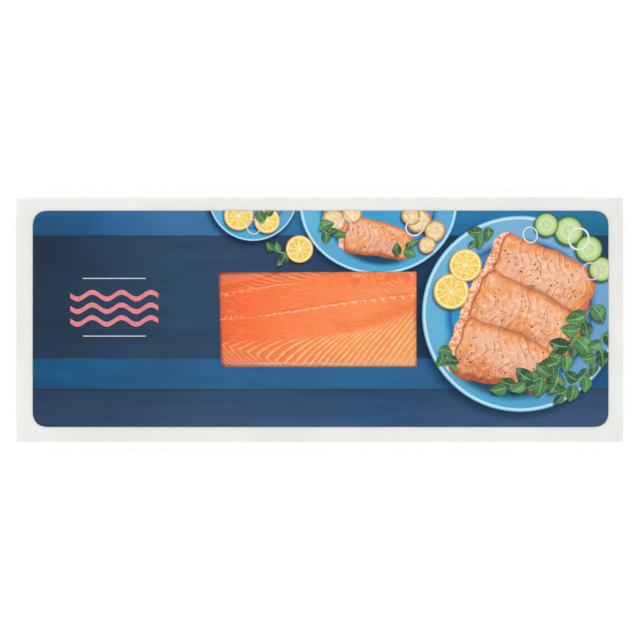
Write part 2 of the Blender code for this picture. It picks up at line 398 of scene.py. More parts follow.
# Ground colours: deep orange at the tail side, paler towards the head and in the fat belly.
loin_stops = [(-0.099, (238, 97, 41)), (-0.075, (253, 111, 49)), (-0.030, (255, 129, 67)),
              (0.020, (255, 142, 80)), (0.095, (254, 147, 86))]
belly_stops = [(-0.099, (252, 110, 48)), (-0.040, (252, 129, 60)), (-0.005, (251, 145, 71)),
               (0.030, (252, 162, 86)), (0.095, (253, 170, 94))]
loin_colour = ramp_along(along_x, loin_stops)
belly_colour = ramp_along(along_x, belly_stops)
less_pale = times(fade(depth, 28.0, 8.0), fade(along_x, 0.040, 0.075), 0.9)
belly_colour = painted(belly_colour, less_pale, 250, 156, 84)
pale_from = fade(along_x, 0.060, 0.095, -1.0, 6.0)
pale_at = plus(pale_from, fade(along_x, 0.050, 0.080, 6.0, 11.0))
ground = blend_colour(fade(depth, pale_from, pale_at), loin_colour, belly_colour)
deep_centre = fade(along_x, 0.068, 0.090, -5.0, -1.0)
deeper = ridge(less(depth, deep_centre), 0.0, 7.2)
deeper = times(deeper, fade(along_x, 0.0, 0.030), 0.85)
ground = painted(ground, deeper, 251, 131, 52)
ground = painted(ground, fade(large, 0.42, 0.68, 0.0, 0.35), 246, 118, 60)
ground = painted(ground, fade(fibre, 0.50, 0.74, 0.0, 0.60), 255, 164, 118)
ground = painted(ground, fade(fibre, 0.46, 0.28, 0.0, 0.60), 234, 98, 46)

# Faint lines in the flesh between the belly and the mid-line, and in the loin.
faint = stripe(plus(stored("middle_lines"), times(soft_noise, 1.6)), 0.24)
faint_there = times(fade(depth, 1.0, -2.0), fade(mid_gap, -0.5, -3.0),
                    fade(along_x, -0.070, -0.030, 0.25, 1.0), fade(along_x, 0.060, 0.020, 0.60, 1.0),
                    fade(middle_noise, 0.40, 0.65, 0.03, 0.45))
ground = painted(ground, times(faint, faint_there), 255, 178, 128)
loin_line = stripe(plus(stored("loin_lines"), times(soft_noise, 1.5)), 0.24)
loin_there = times(fade(mid_gap, 2.0, 5.0), fade(along_x, 0.020, 0.065),
                   fade(middle_noise, 0.35, 0.62, 0.10, 0.80))
ground = painted(ground, times(loin_line, loin_there), 255, 180, 132)

# Strong pale lines of the belly, each with a thin darker line beside it that is partly painted shade along
# the raised line's edge.
line_value = plus(count, times(less(soft_noise, 0.5), 0.45))
half = fade(middle_noise, 0.30, 0.72, 0.15, 0.31)
strength = times(fade(depth, -2.0, fade(along_x, 0.030, 0.085, 2.5, 13.0)),
                 fade(middle_noise, 0.20, 0.50, 0.55, 1.0), fade(along_x, -0.085, 0.0, 0.50, 1.0))
belly_line = times(stripe(line_value, half), strength)
# The darker line beside each pale line is partly painted shade, not a colour of the flesh.
painted_shade_beside = stripe(less(line_value, 0.23), 0.15)
lined = painted(ground, times(painted_shade_beside, strength, 0.60), 228, 111, 42)
lined = painted(lined, belly_line, 255, 199, 142)

low_streaks = stripe(plus(times(line_value, 1.5), middle_noise), 0.30)
low_there = times(fade(stored("above_fold"), -2.0, -9.0), fade(along_x, -0.040, -0.062),
                  fade(middle_noise, 0.34, 0.60, 0.20, 1.0))
lined = painted(lined, times(fade(low_streaks, 0.6, 0.0), low_there, 0.60), 255, 180, 144)
lined = painted(lined, times(low_streaks, low_there, 0.75), 232, 94, 46)

# The mid-line of fat: broken at the tail side, bright in the middle, with teeth at the head side.
dash_place = plus(over(along_x, 0.0115), times(soft_noise, 1.6))
dash_climb = less(calc("FRACT", dash_place), 0.5)
wavy_gap = less(mid_gap, times(dash_climb, 0.9))
wavy_gap = plus(wavy_gap, times(less(along_noise, 0.5), 2.2))
breaks = noise(object_place((1.0, 0.0, 1.0)), 130.0, 2.0)
faint_stretch = times(fade(along_x, -0.078, -0.072), fade(along_x, -0.053, -0.060))
breaks = less(breaks, times(faint_stretch, 0.12))
breaks = plus(breaks, fade(along_x, -0.058, -0.045, 0.0, 0.14))
broken = fade(breaks, 0.44, 0.58, 0.12, 1.0)
mid_width = fade(along_noise, 0.35, 0.7, 0.70, 1.40)
mid_away = over(calc("ABSOLUTE", wavy_gap), mid_width)
head_share = fade(along_x, 0.030, 0.050)
drop_noise = noise(object_place((1.0, 0.0, 1.0)), 70.0, 1.0)
drop_place = over(less(along_x, 0.038), 0.0095)
drop_place = plus(drop_place, times(mid_gap, 0.07))
drop_place = plus(drop_place, times(drop_noise, 0.9))
drop_reach = times(fade(along_x, 0.015, 0.050, -2.0, -4.2), fade(drop_noise, 0.3, 0.7, 0.75, 1.2))
above_tip = less(mid_gap, drop_reach)
drop_width = fade(above_tip, 0.0, 4.2, 0.08, 0.27)
drops = times(stripe(drop_place, drop_width), fade(along_x, -0.030, -0.005), fade(above_tip, 0.0, 1.2),
              fade(mid_gap, 0.9, 0.1), fade(middle_noise, 0.30, 0.50, 0.55, 1.0))
near_drop = stripe(less(drop_place, 0.1), 0.5)
mid_white = times(fade(mid_away, 1.0, 0.2), broken, fade(head_share, 0.0, 1.0, 1.0, 0.30))
mid_white = times(mid_white, fade(near_drop, 0.0, 1.0, 0.55, 1.0))
tick_place = over(less(along_x, times(mid_gap, 0.0004)), 0.0052)
ticks = times(stripe(tick_place, 0.17), fade(mid_gap, -0.6, 0.2), fade(mid_gap, 4.6, 2.0),
              fade(along_x, -0.074, -0.079))
red_above = times(ridge(wavy_gap, 2.2, 1.3), fade(middle_noise, 0.40, 0.62, 0.0, 0.60))
lined = painted(lined, red_above, 228, 98, 50)
lined = painted(lined, times(drops, 0.85), 255, 198, 150)
lined = painted(lined, mid_white, 255, 202, 162)
lined = painted(lined, times(ticks, 0.75), 255, 182, 134)

# The upper line, short dashes, with fine strokes above it and paler, pinker flesh at the back.
flecks_place = add_node("CombineXYZ", {0: times(along_x, 190.0), 1: times(upper_gap, 0.42)}).outputs[0]
flecks = fade(noise(flecks_place, 1.0, 2.0), 0.50, 0.60)
upper_white = times(ridge(upper_gap, 0.3, 3.2), flecks, fade(along_x, 0.012, -0.008),
                    fade(along_x, -0.060, -0.072, 0.25, 1.0))
stroke_value = plus(stored("upper_strokes"), times(soft_noise, 1.8))
stroke_value = plus(stroke_value, times(middle_noise, 0.6))
strokes = stripe(stroke_value, 0.22)
stroke_there = times(fade(upper_gap, 0.3, 1.5), fade(along_x, -0.082, -0.062),
                     fade(along_x, 0.060, 0.005, 0.35, 1.0), fade(along_x, -0.010, -0.030, 1.0, 0.68),
                     fade(middle_noise, 0.34, 0.55, 0.35, 1.0))
lined = painted(lined, times(strokes, stroke_there), 255, 170, 118)
under_stroke = stripe(plus(stroke_value, 0.40), 0.22)
lined = painted(lined, times(under_stroke, stroke_there, 0.80), 226, 90, 36)
arc_gap = less(upper_gap, fade(along_x, -0.062, -0.080, 1.2, 9.0))
arc_gap = plus(arc_gap, fade(along_x, -0.052, -0.020, 0.0, 2.8))
arc_gap = plus(arc_gap, times(less(soft_noise, 0.5), 5.0))
arc_there = times(fade(along_x, -0.080, -0.074), fade(along_x, -0.010, -0.030))
lined = painted(lined, times(ridge(arc_gap, 1.6, 1.1), arc_there, 0.6), 228, 92, 38)
lined = painted(lined, times(ridge(arc_gap, 0.0, 1.1), arc_there, 0.8), 255, 172, 122)
pink_band = times(ridge(less(upper_gap, times(along_x, 80.0)), 19.0, 2.2), fade(along_x, -0.045, -0.062))
lined = painted(lined, times(pink_band, 0.25), 255, 166, 126)
orange_band = times(ridge(less(upper_gap, times(along_x, 60.0)), 12.5, 4.0), fade(along_x, -0.050, -0.068))
lined = painted(lined, times(orange_band, 0.55), 242, 100, 38)
back_gap = plus(upper_gap, times(middle_noise, 3.0))
pink_back = times(fade(back_gap, 13.5, 17.5), fade(along_x, -0.045, -0.070))
lined = painted(lined, times(pink_back, 0.42), 240, 142, 106)
red_spot = times(fade(upper_gap, 10.5, 12.0), ridge(along_x, -0.043, 0.011))
lined = painted(lined, times(red_spot, 0.75), 214, 84, 46)
red_streak = times(ridge(upper_gap, 1.2, 2.6), ridge(along_x, 0.016, 0.022))
lined = painted(lined, times(red_streak, 0.55), 228, 98, 52)
lined = painted(lined, times(upper_white, 0.85), 255, 178, 134)

# Pale pink membrane that covers the belly's lines along the lower edge of the window.
membrane_noise = noise(object_place((0.35, 3.2, 1.0)), 190.0, 3.0)
membrane_edge = less(split.outputs[1], fade(along_x, 0.020, 0.090, -0.0015, 0.0035))
membrane_edge = plus(membrane_edge, fade(along_x, -0.050, -0.078, 0.0, 0.0012))
membrane = times(fade(membrane_edge, -0.0390, -0.0420), fade(along_x, -0.098, -0.050, 0.45, 1.0),
                 fade(membrane_noise, 0.34, 0.60, 0.12, 0.85), fade(along_x, 0.020, 0.060, 1.0, 0.75))
membrane_colour = blend_colour(fade(along_x, -0.050, -0.020), srgb(255, 192, 176), srgb(255, 184, 142))
lined = blend_colour(membrane, lined, membrane_colour)
back_noise = noise(object_place((1.0, 1.6, 1.0)), 110.0, 3.0)
back_red = times(fade(split.outputs[1], 0.0280, 0.0395), fade(along_x, 0.010, 0.040),
                 fade(back_noise, 0.40, 0.60, 0.15, 0.9))
lined = painted(lined, times(back_red, 0.85), 244, 110, 54)
fleck_noise = noise(object_place((1.0, 0.7, 1.0)), 150.0, 2.0)
back_flecks = times(fade(fleck_noise, 0.56, 0.66), fade(along_x, 0.025, 0.040),
                    fade(split.outputs[1], 0.0400, 0.0440))
lined = painted(lined, times(back_flecks, 0.45), 255, 186, 146)
skin_share = stored("skin_side")
skin_colour = blend_colour(fade(large, 0.4, 0.6), srgb(150, 152, 156), srgb(186, 188, 188))
final = blend_colour(skin_share, lined, skin_colour)
relief = plus(times(fibre, 0.35), times(belly_line, 0.4))
fill(shader, {"Base Color": final, "Roughness": 0.30, "Normal": bump(relief, 0.0002, 0.5),
              "Specular IOR Level": 0.35, "Coat Weight": 0.15, "Coat Roughness": 0.10})
salmon.data.materials.append(flesh)
set_up(salmon, "salmon_flesh", "salmon_side")


# Lid film
# Clear plastic film heat-sealed to the flange all round and drawn tight over the tray. It is flat on
# the flange, and over the fish it has the faint waves of a stretched film.
FILM_TOP = 0.03460
FILM_WAVE = 0.00009
FILM_THICKNESS = 0.00025
FILM_COLUMNS, FILM_ROWS = 150, 60
PACK_HALF_LENGTH, PACK_HALF_WIDTH = 0.300, 0.121
WAVY_HALF_LENGTH, WAVY_HALF_WIDTH = 0.278, 0.100
WAVES_FADE = 0.03

bpy.ops.object.select_all(action="DESELECT")
bpy.ops.mesh.primitive_grid_add(x_subdivisions=FILM_COLUMNS, y_subdivisions=FILM_ROWS, size=2.0)
film = bpy.context.object
film.name = "lid_film_sheet"
film.scale = (PACK_HALF_LENGTH, PACK_HALF_WIDTH, 1.0)
film.location.z = FILM_TOP
bpy.ops.object.transform_apply(location=True, rotation=True, scale=True)
places = vertex_places(film)
inside = (np.clip((WAVY_HALF_LENGTH - np.abs(places[:, 0])) / WAVES_FADE, 0, 1)
          * np.clip((WAVY_HALF_WIDTH - np.abs(places[:, 1])) / WAVES_FADE, 0, 1))
along, across = places[:, 0], places[:, 1]
wave = np.sin(along * 61 + 4 * np.sin(across * 23)) + np.sin(across * 83 + along * 37)
places[:, 2] += FILM_WAVE * 0.5 * wave * inside
film.data.vertices.foreach_set("co", places.ravel())
film.data.update()
sheet = film.modifiers.new("sheet", "SOLIDIFY")
sheet.thickness = FILM_THICKNESS
sheet.offset = -1.0
only(film)
bpy.ops.object.modifier_apply(modifier="sheet")
bpy.ops.object.shade_smooth_by_angle(angle=math.radians(40))

clear_film, tree, shader = new_material("clear_lid_film")
fill(shader, {"Base Color": (1.0, 1.0, 1.0, 1.0), "Metallic": 1.0, "Roughness": 0.06})
see_through = add_node("BsdfTransparent", {"Color": (0.995, 0.995, 0.995, 1.0)}).outputs[0]
front = less(1.0, add_node("NewGeometry").outputs["Backfacing"])
mirror_share = times(add_node("Fresnel", {"IOR": 1.45}).outputs[0], front)
glossy = add_node("MixShader", {0: mirror_share, 1: see_through, 2: shader.outputs[0]}).outputs[0]
tree.links.new(glossy, tree.nodes["Material Output"].inputs["Surface"])
film.data.materials.append(clear_film)
set_up(film, "clear_film", "lid_film")


# Printed panel
# The reverse of the lid carries printing over all but its edge and a window. It is ink on film, a
# navy ground with rounded corners, printed in flat layers each only a few hundredths thick.
PRINT_FOOT = 0.03476
PRINT_TOP = 0.03500
INK_STEP = 0.00004
INK_FOOT = 0.03490
GLOSS_LIFT = 0.008
PRINT_LEFT, PRINT_RIGHT = -0.2833, 0.2852
PRINT_LOW, PRINT_HIGH = -0.1057, 0.1078
PRINT_CORNER = 0.0134
WINDOW = [(-0.0974, -0.0464, 0.0050), (0.0957, -0.0464, 0.0008), (0.0957, 0.0478, 0.0008),
          (-0.0998, 0.0469, 0.0008)]


def layer_height(layer):
    return PRINT_TOP + INK_STEP * layer


def corner_points(corners, steps=7):
    """An outline whose corners (x, y, size) are rounded by a smooth curve."""
    points = []
    for n, (cx, cy, size) in enumerate(corners):
        corner = np.array([cx, cy])
        before = np.array(corners[n - 1][:2]) - corner
        after = np.array(corners[(n + 1) % len(corners)][:2]) - corner
        start = corner + before / np.hypot(*before) * size
        end = corner + after / np.hypot(*after) * size
        for t in np.linspace(0, 1, steps):
            points.append((1 - t) ** 2 * start + 2 * t * (1 - t) * corner + t**2 * end)
    return points


def outline_ring(points, height):
    """A ring of edges along an outline."""
    bpy.ops.object.select_all(action="DESELECT")
    bpy.ops.mesh.primitive_circle_add(vertices=len(points), radius=0.1, fill_type="NOTHING")
    ring = bpy.context.object
    for vertex, point in zip(ring.data.vertices, points):
        vertex.co = (point[0], point[1], height)
    return ring


def join(name, pieces):
    bpy.ops.object.select_all(action="DESELECT")
    for piece in pieces:
        piece.select_set(True)
    bpy.context.view_layer.objects.active = pieces[0]
    if len(pieces) > 1:
        bpy.ops.object.join()
    bpy.context.object.name = name
    return bpy.context.object


def cut_away(piece, point, outward):
    """Cuts a flat shape off beyond a line."""
    edit(piece, bpy.ops.mesh.bisect, plane_co=point, plane_no=outward, clear_outer=True, threshold=0.000001)


def make_solid(piece, foot):
    """Gives flat printed shapes their thickness, down to a foot that the layer below hides."""
    edit(piece, bpy.ops.mesh.extrude_region_move, TRANSFORM_OT_translate={"value": (0.0, 0.0, -0.0001)})
    for vertex in piece.data.vertices:
        if vertex.select:
            vertex.co.z = foot
    edit(piece, bpy.ops.mesh.normals_make_consistent, inside=False)


# A rounded corner drawn with one smooth curve reaches further along its sides than a round one.
corner_reach = PRINT_CORNER * 1.12
panel_corners = [(PRINT_RIGHT, PRINT_HIGH, corner_reach), (PRINT_LEFT, PRINT_HIGH, corner_reach),
                 (PRINT_LEFT, PRINT_LOW, corner_reach), (PRINT_RIGHT, PRINT_LOW, corner_reach)]
outlines = [corner_points(panel_corners, 10), corner_points(WINDOW)]
panel = join("print_navy_ground", [outline_ring(outline, PRINT_TOP) for outline in outlines])
edit(panel, bpy.ops.mesh.fill, use_beauty=True)
edit(panel, bpy.ops.mesh.normals_make_consistent, inside=False)

# Soft plank-like mottling that all the printed grounds share.
ground_mottle = bpy.data.node_groups.new("ground_mottle", "ShaderNodeTree")
ground_mottle.interface.new_socket("Length", in_out="INPUT", socket_type="NodeSocketFloat")
ground_mottle.interface.new_socket("Mottle", in_out="OUTPUT", socket_type="NodeSocketFloat")
group_in = ground_mottle.nodes.new("NodeGroupInput")
group_out = ground_mottle.nodes.new("NodeGroupOutput")
tree = ground_mottle
streaks = noise(object_place((0.18, 1.4, 1.0)), 42.0, 5.0, 0.6)
clouds = noise(object_place((1.0, 1.6, 1.0)), 9.0, 2.0)
both = plus(times(streaks, group_in.outputs[0]), times(clouds, less(1.0, group_in.outputs[0])))
ground_mottle.links.new(both, group_out.inputs[0])


def printed(*colour):
    """An ink colour as it looks on the pack, less the light that its gloss adds."""
    return tuple(max(part - GLOSS_LIFT, 0.001) for part in srgb(*colour)[:3]) + (1.0,)


def plain_grey(share):
    return (share, share, share, 1.0)


def ground_ink(name, stops, shades, depth=0.10):
    """Satin ink: its colour changes along the pack, and its shade across it, at (place, value) stops."""
    global tree
    material, tree, shader = new_material(name)
    place = add_node("SeparateXYZ", {0: object_place()})
    colours = ramp_along(place.outputs[0], stops, printed)
    mottle = add_node("Group", node_tree=ground_mottle)
    mottle.inputs[0].default_value = 0.6
    grey = fade(mottle.outputs[0], 0.35, 0.65, 0.5 - depth, 0.5 + depth)
    grey = add_node("CombineColor", {0: grey, 1: grey, 2: grey}).outputs[0]
    mottled = blend_colour(0.7, colours, grey, "OVERLAY")
    shades = [(across, (share,)) for across, share in shades]
    shade = ramp_along(place.outputs[1], shades, plain_grey)
    shaded = blend_colour(1.0, mottled, shade, "MULTIPLY")
    fill(shader, {"Base Color": shaded, "Roughness": 0.22})
    return material


def band_of(low, high, layer, name):
    """A band right across the panel: a copy of it, cut to the band and raised by its ink."""
    only(panel)
    bpy.ops.object.duplicate()
    band = bpy.context.object
    band.name = name
    cut_away(band, (0, low, 0), (0, -1, 0))
    cut_away(band, (0, high, 0), (0, 1, 0))
    for vertex in band.data.vertices:
        vertex.co.z = layer_height(layer)
    make_solid(band, INK_FOOT)
    return band


band_pieces = {
    "print_blue_top_band": (0.0834, 0.2, 1),
    "print_blue_low_band": (-0.0681, -0.0381, 1),
    "print_navy_foot_band": (-0.2, -0.0681, 1),
}
bands = {name: band_of(*sizes, name) for name, sizes in band_pieces.items()}
make_solid(panel, PRINT_FOOT)
navy = ground_ink("ink_navy", [(-0.285, (36, 54, 74)), (-0.250, (37, 56, 77)), (-0.140, (48, 73, 100)),
                               (-0.085, (50, 73, 100)), (0.090, (34, 57, 86)), (0.286, (40, 64, 94))],
                  [(-0.040, 1.0), (0.0800, 1.0), (0.0834, 0.86), (0.110, 0.86)])
top_blue = ground_ink("ink_top_blue", [(-0.285, (38, 89, 131)), (-0.228, (36, 90, 136)),
                                       (-0.188, (53, 109, 159)), (-0.146, (66, 121, 169)),
                                       (0.070, (42, 124, 176)), (0.286, (41, 115, 158))],
                      [(0.083, 0.72), (0.0842, 0.80), (0.1078, 1.0)])
low_blue = ground_ink("ink_low_blue", [(-0.285, (26, 81, 123)), (-0.250, (30, 84, 125)),
                                       (-0.110, (46, 97, 141)), (0.060, (45, 97, 141)),
                                       (0.286, (31, 83, 122))],
                      [(-0.0685, 0.94), (-0.0660, 1.0), (-0.038, 1.0)])
foot_navy = ground_ink("ink_foot_navy", [(-0.285, (48, 71, 99)), (-0.210, (49, 74, 102)),
                                         (-0.120, (58, 84, 115)), (-0.035, (59, 92, 127)),
                                         (0.050, (49, 83, 120)), (0.286, (58, 84, 116))],
                       [(-0.106, 1.0), (-0.0730, 0.76), (-0.0700, 0.70), (-0.0690, 0.56), (-0.068, 0.56)])
panel.data.materials.append(navy)
set_up(panel, "printed_ink", "printed_panel")
for (name, band), ink in zip(bands.items(), (top_blue, low_blue, foot_navy)):
    band.data.materials.append(ink)
    set_up(band, "printed_ink")


# Printed shadows and shapes
# The picture on the panel is printed flat, in inks laid one over another. Soft dark ink under each
# plate and each piece of food stands for its shadow.
SHADOW_LAYER = 2
LEAF_BEND = 0.10
OWN_STEP = 0.12  # of a layer, so that no two shapes of one print lie at the same height


def keep_local(shape, places):
    """The place within a printed shape, -1 to 1 both ways, for its ink."""
    layer = shape.data.attributes.new("local", "FLOAT_VECTOR", "POINT")
    layer.data.foreach_set("vector", np.ascontiguousarray(places, dtype=np.float32).ravel())


def set_places(shape, places):
    shape.data.vertices.foreach_set("co", np.ascontiguousarray(places, dtype=np.float32).ravel())
    shape.data.update()


def round_shape(name, lumps=0.0):
    """A flat round shape one unit in radius, its edge a little uneven if lumps are asked for."""
    bpy.ops.object.select_all(action="DESELECT")
    bpy.ops.mesh.primitive_circle_add(vertices=64, radius=1.0, fill_type="TRIFAN")
    shape = bpy.context.object
    shape.name = name
    places = vertex_places(shape)
    keep_local(shape, places)
    around = np.arctan2(places[:, 1], places[:, 0])
    swell = 1 + lumps * (np.sin(2 * around + 0.7) + 0.6 * np.sin(3 * around + 2.1))
    set_places(shape, places * np.stack([swell, swell, np.ones(len(swell))], axis=1))
    return shape


def grid_shape(name, along, across, bend_to):
    """A flat shape made from a grid, -1 to 1 both ways, that a function bends to its outline."""
    bpy.ops.object.select_all(action="DESELECT")
    bpy.ops.mesh.primitive_grid_add(x_subdivisions=along, y_subdivisions=across, size=2.0)
    shape = bpy.context.object
    shape.name = name
    places = vertex_places(shape)
    keep_local(shape, places)
    px, py = bend_to(places[:, 0].astype(float), places[:, 1].astype(float))
    set_places(shape, np.stack([px, py, np.zeros(len(px))], axis=1))
    edit(shape, bpy.ops.mesh.remove_doubles, threshold=0.0001)
    return shape


def leaf_outline(u, v):
    """A pointed oval leaf one unit long, from its stalk at 0 to its tip at 1."""
    along = (u + 1) / 2
    half = 0.37 * np.sin(math.pi * along**0.80) ** 0.85
    return along, half * v + LEAF_BEND * np.sin(math.pi * along) - LEAF_BEND * along


def portion_outline(u, v):
    """A cut of fish one unit long, thicker at one end, its corners rounded and its sides uneven."""
    across = v * (0.235 - 0.035 * u) * np.sqrt(1 - 0.30 * u**6)
    along = 0.5 * u * np.sqrt(1 - 0.16 * v**4)
    return along + 0.008 * np.sin(7 * v), across + 0.010 * np.sin(4.5 * u + 0.6) + 0.004 * np.sin(13 * u)


def printed_copy(shape, x, y, length, turn=0.0, width=None, layer=3, tint=0.5):
    """A copy of a flat shape at its place on the panel, in millimetres and degrees."""
    copy = bpy.data.objects.new(shape.name + "_copy", shape.data.copy())
    bpy.context.scene.collection.objects.link(copy)
    size = Matrix.Diagonal((length / 1000, (width or length) / 1000, 1.0, 1.0))
    place = Matrix.Translation((x / 1000, y / 1000, layer_height(layer)))
    copy.data.transform(place @ Matrix.Rotation(math.radians(turn), 4, "Z") @ size)
    for point in copy.data.attributes["local"].data:
        point.vector = (point.vector[0], point.vector[1], tint)
    return copy


def print_pieces(name, copies, ink, above_window=False):
    """Joins flat shapes into one printed piece, trims it to the panel and gives it thickness."""
    piece = join(name, copies)
    cut_away(piece, (PRINT_RIGHT, 0, 0), (1, 0, 0))
    cut_away(piece, (0, PRINT_HIGH, 0), (0, 1, 0))
    if above_window:
        cut_away(piece, (0, WINDOW[2][1], 0), (0, -1, 0))
    make_solid(piece, INK_FOOT)
    piece.data.materials.append(ink)
    set_up(piece, "printed_ink")
    return piece


def within():
    """Sockets for the place within a shape: along, across, tint and distance from the centre."""
    place = add_node("Attribute", attribute_name="local").outputs["Vector"]
    split = add_node("SeparateXYZ", {0: place})
    flat = add_node("CombineXYZ", {0: split.outputs[0], 1: split.outputs[1]}).outputs[0]
    radius = add_node("VectorMath", {0: flat}, operation="LENGTH").outputs["Value"]
    return split.outputs[0], split.outputs[1], split.outputs[2], radius


def finish_ink(shader, colour):
    fill(shader, {"Base Color": colour, "Roughness": 0.22})


shadow_ink, tree, shader = new_material("ink_shadow")
_, _, tint, radius = within()
soft_edge = fade(tint, 0.0, 1.0, 0.82, 0.30)
spread = over(less(1.0, radius), less(1.0, soft_edge))
fill(shader, {"Base Color": srgb(12, 24, 44), "Roughness": 0.22,
              "Alpha": fade(spread, 0.0, 1.0, 0.0, 0.60)})
disc = round_shape("disc")
lumpy_disc = round_shape("lumpy_disc", 0.03)
leaf_shape = grid_shape("leaf_shape", 14, 4, leaf_outline)
portion_shape = grid_shape("portion_shape", 30, 10, portion_outline)


# Printed plates
# A large round plate at the right, an oval dish and a small saucer at the top, all in light blue, cut
# off by the panel's edges. They are printed inks, with a lighter rim and a ring where the well starts.
PLATE = (198.0, 6.0, 97.0)
DISH = (58.0, 114.0, 78.0, 69.0)
SAUCER = (-66.0, 122.0, 44.0)

blue_ware, tree, shader = new_material("ink_blue_ware")
along, across, tint, radius = within()
light_side = less(across, times(along, 0.7))
pale_side = plus(along, times(across, 0.6))
greyish = blend_colour(fade(pale_side, -0.8, 0.5), srgb(28, 154, 204), srgb(98, 148, 200))
cyan = blend_colour(fade(pale_side, -0.7, 0.4), srgb(18, 164, 214), srgb(70, 156, 204))
glaze = blend_colour(tint, greyish, cyan)
cloud = noise(object_place(), 22.0, 3.0)
glaze = painted(glaze, fade(cloud, 0.35, 0.7, 0.0, 0.40), 60, 130, 182)
rim_light = times(fade(radius, 0.74, 0.80), fade(light_side, -1.2, 1.0, 0.20, 0.50))
glaze = painted(glaze, rim_light, 140, 200, 226)
glaze = painted(glaze, ridge(radius, 0.715, 0.035), 48, 108, 160)
glaze = painted(glaze, ridge(radius, 0.975, 0.020), 196, 232, 244)
finish_ink(shader, glaze)

dish_shadow = (DISH[0] - 2, DISH[1] - 4, DISH[2] + 5)
plate_shadows = [
    printed_copy(disc, PLATE[0] - 4, PLATE[1] - 5, PLATE[2] + 7, layer=SHADOW_LAYER, tint=0.0),
    printed_copy(disc, *dish_shadow, width=DISH[3] + 5, layer=SHADOW_LAYER + OWN_STEP, tint=0.0),
    printed_copy(disc, SAUCER[0] - 2, SAUCER[1] - 3, SAUCER[2] + 5, layer=SHADOW_LAYER + 2 * OWN_STEP,
                 tint=0.0),
]
print_pieces("print_plate_shadow", plate_shadows[:1], shadow_ink)
print_pieces("print_dish_shadow", plate_shadows[1:2], shadow_ink, above_window=True)
print_pieces("print_saucer_shadow", plate_shadows[2:], shadow_ink)
print_pieces("print_plate", [printed_copy(disc, *PLATE, layer=3, tint=0.0)], blue_ware)
print_pieces("print_dish", [printed_copy(disc, *DISH[:3], width=DISH[3], layer=3.3, tint=1.0)], blue_ware,
             True)
print_pieces("print_saucer", [printed_copy(disc, *SAUCER, layer=3.6, tint=0.8)], blue_ware)


# Printed cooked fish
# Cooked cuts of salmon on the plate and the dish: flakes from golden to pale pink, a browned crust
# along the edges and ground pepper on top, printed in inks.
COOKED = [  # x, y, length, width, turn, tint, layer
    (218.0, 43.0, 110.0, 120.0, -20.0, 0.7, 5.0),
    (200.0, 2.0, 120.0, 126.0, -25.0, 0.5, 6.5),
    (180.0, -38.0, 108.0, 118.0, -18.0, 0.3, 8.0),
    (56.0, 80.0, 74.0, 74.0, -13.0, 0.6, 5.0),
]

cooked_ink, tree, shader = new_material("ink_cooked_fish")
along, across, tint, _ = within()
here = object_place()
crumb = noise(here, 190.0, 5.0, 0.65)
patch = noise(here, 42.0, 3.0)
far_across = calc("ABSOLUTE", across)
edge = calc("MAXIMUM", calc("ABSOLUTE", along), far_across)
rough_edge = plus(edge, times(less(crumb, 0.5), 0.55))
golden = plus(fade(patch, 0.42, 0.70), fade(rough_edge, 0.45, 0.90, 0.0, 0.8), clamp=True)
cooked = blend_colour(golden, srgb(240, 184, 154), srgb(242, 160, 92))
cooked = painted(cooked, fade(crumb, 0.48, 0.70, 0.0, 0.85), 255, 220, 184)
browner = times(fade(across, 0.3, -0.8), fade(tint, 0.8, 0.2, 0.30, 0.80),
                fade(crumb, 0.62, 0.40, 0.5, 1.0))
cooked = painted(cooked, browner, 206, 108, 72)
flake = plus(times(along, 6.5), times(far_across, 1.6))
flake = plus(flake, times(patch, 2.4))
flake_there = fade(noise(here, 75.0, 2.0), 0.40, 0.62, 0.05, 0.70)
flake_lines = times(stripe(flake, 0.15), flake_there)
cooked = painted(cooked, flake_lines, 208, 116, 66)
flake_light = times(stripe(plus(flake, 0.24), 0.14), flake_there)
cooked = painted(cooked, times(flake_light, 0.6), 255, 218, 186)
cooked = painted(cooked, fade(crumb, 0.44, 0.28, 0.0, 0.75), 202, 108, 60)
cooked = painted(cooked, fade(rough_edge, 0.78, 1.02, 0.0, 0.80), 194, 92, 46)
dark_foot = times(fade(across, -0.60, -0.92), fade(crumb, 0.6, 0.4, 0.35, 0.8))
cooked = painted(cooked, dark_foot, 150, 66, 38)
cut_at = plus(along, times(less(patch, 0.5), 0.16))
face_flakes = fade(noise(object_place((1.0, 1.0, 1.0)), 330.0, 3.0), 0.38, 0.62)
cut_face = blend_colour(face_flakes, srgb(226, 140, 92), srgb(255, 214, 180))
cooked = blend_colour(fade(cut_at, -0.845, -0.865), cooked, cut_face)
cooked = painted(cooked, times(ridge(cut_at, -0.835, 0.035), 0.75), 176, 84, 44)
grains = add_node("TexVoronoi", {"Vector": here, "Scale": 290.0})
grain_kind = add_node("SeparateColor", {0: grains.outputs["Color"]})
many = fade(noise(here, 30.0, 2.0), 0.40, 0.60, 0.14, 0.80)
chosen = fade(less(grain_kind.outputs[0], many), 0.02, -0.02)
grain_size = fade(grain_kind.outputs[1], 0.0, 1.0, 0.12, 0.34)
grain_there = fade(over(grains.outputs["Distance"], grain_size), 1.1, 0.7)
pepper = times(grain_there, chosen, fade(edge, 0.92, 0.80))
cooked = painted(cooked, times(pepper, 0.85), 84, 42, 32)
finish_ink(shader, cooked)
for n, (px, py, length, width, turn, tint_value, layer) in enumerate(COOKED):
    shade = printed_copy(disc, px - 2, py - 4, length * 0.57, turn, width * 0.32, layer - 0.5, 0.25)
    print_pieces(f"print_fish_shadow_{n}", [shade], shadow_ink)
    cut = printed_copy(portion_shape, px, py, length, turn, width, layer, tint_value)
    print_pieces(f"print_cooked_fish_{n}", [cut], cooked_ink)


